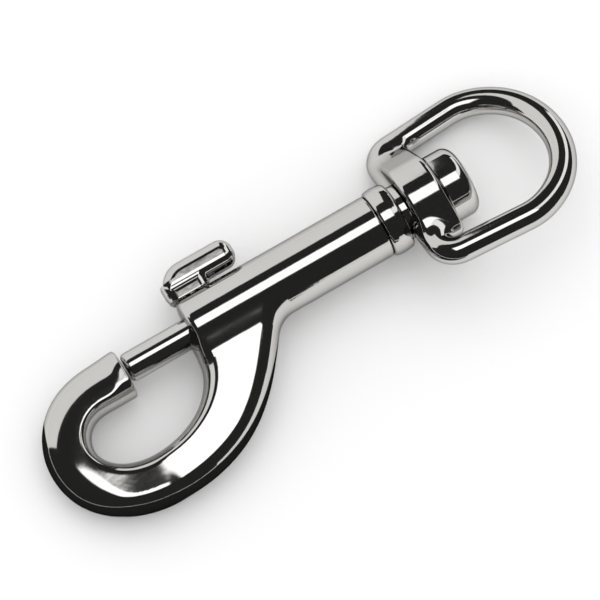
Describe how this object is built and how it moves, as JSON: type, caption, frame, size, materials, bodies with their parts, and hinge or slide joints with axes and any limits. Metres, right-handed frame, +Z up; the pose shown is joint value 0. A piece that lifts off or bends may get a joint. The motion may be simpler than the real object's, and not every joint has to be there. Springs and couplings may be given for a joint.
{
  "type": "swivel snap hook",
  "caption": "Spring bolt snap hook with a thumb-drawn bolt closing the hook and a free-turning rounded swivel eye",
  "frame": {"origin": "centre of the footprint, on the surface the hook lies on", "axes": "+X along the barrel from the hook to the swivel eye, +Y to the thumb piece side, +Z up out of the face of the hook as it lies"},
  "size_m": [0.101, 0.0384, 0.0161],
  "materials": {
    "plated_casting": "bright nickel plate on a zinc casting, lightly uneven",
    "plated_steel": "bright nickel plate on turned steel",
    "spring_steel": "plain drawn spring wire"
  },
  "bodies": {
    "body": {"hook_body": "plated_casting", "end_plug": "plated_casting", "swivel_rivet": "plated_steel", "bolt_spring": "spring_steel"},
    "bolt_group": {"bolt": "plated_steel", "thumb_piece": "plated_casting"},
    "eye": {"swivel_eye": "plated_casting"}
  },
  "joints": [
    {"name": "swivel", "type": "hinge", "parent": "body", "child": "eye", "pos_m": [0.02376, 0.00412, 0.00753], "axis": [0.999, 0, 0.0445], "continuous": true},
    {"name": "bolt_slide", "type": "slide", "parent": "body", "child": "bolt_group", "axis": [0.999, 0, 0.0445], "range_m": [0, 0.008], "stiffness_N_per_m": 300, "springref_m": -0.004, "deforming": ["bolt_spring"]}
  ]
}
